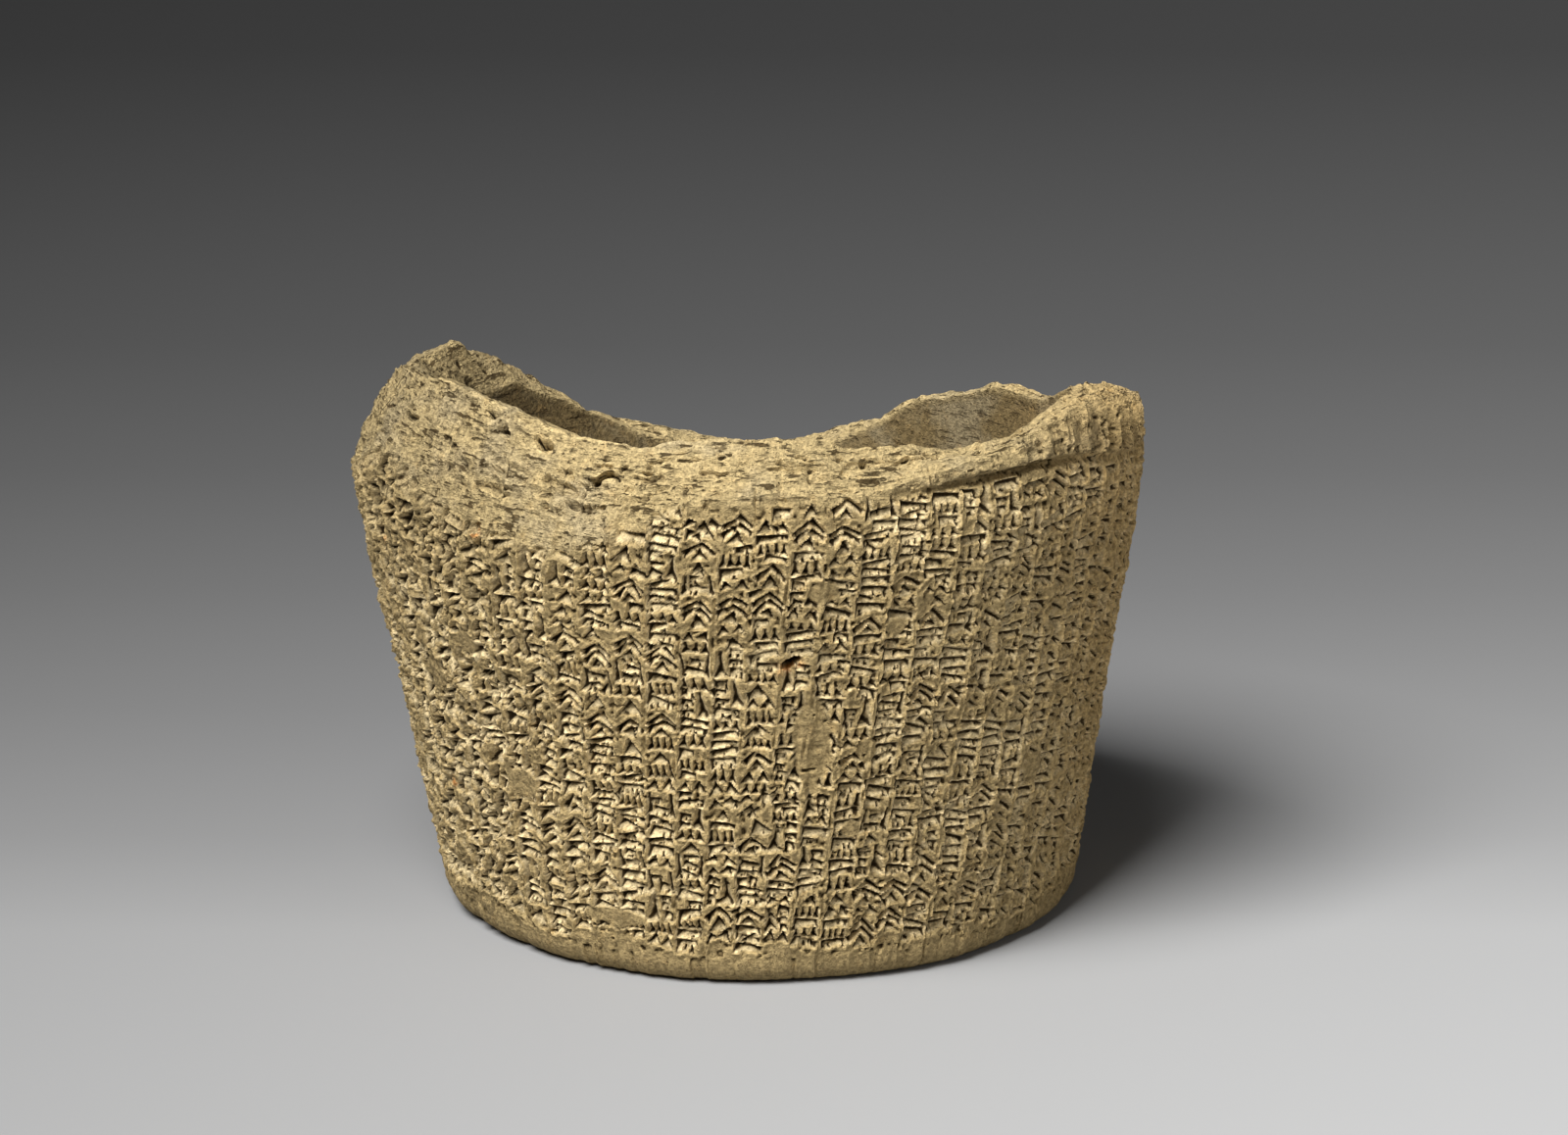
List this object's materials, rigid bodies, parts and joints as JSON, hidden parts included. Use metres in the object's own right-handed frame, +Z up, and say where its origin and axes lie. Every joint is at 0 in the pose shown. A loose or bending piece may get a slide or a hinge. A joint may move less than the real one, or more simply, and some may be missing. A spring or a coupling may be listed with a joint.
{
  "type": "inscribed clay cylinder",
  "caption": "Standing end of a hollow barrel of fired clay, broken across, with lines of shallow wedge strokes running up its outer wall.",
  "frame": {"origin": "centre of the flat underside it stands on", "axes": "+Z up the barrel's own axis towards the break, -Y towards the front, which has the highest part of the break on its left"},
  "size_m": [0.1241, 0.1222, 0.0905],
  "materials": {
    "fired_clay": "dry unglazed fired clay, yellow-beige, finely gritty, with dust in its recesses"
  },
  "bodies": {
    "root": {"clay_cylinder": "fired_clay"}
  },
  "joints": []
}
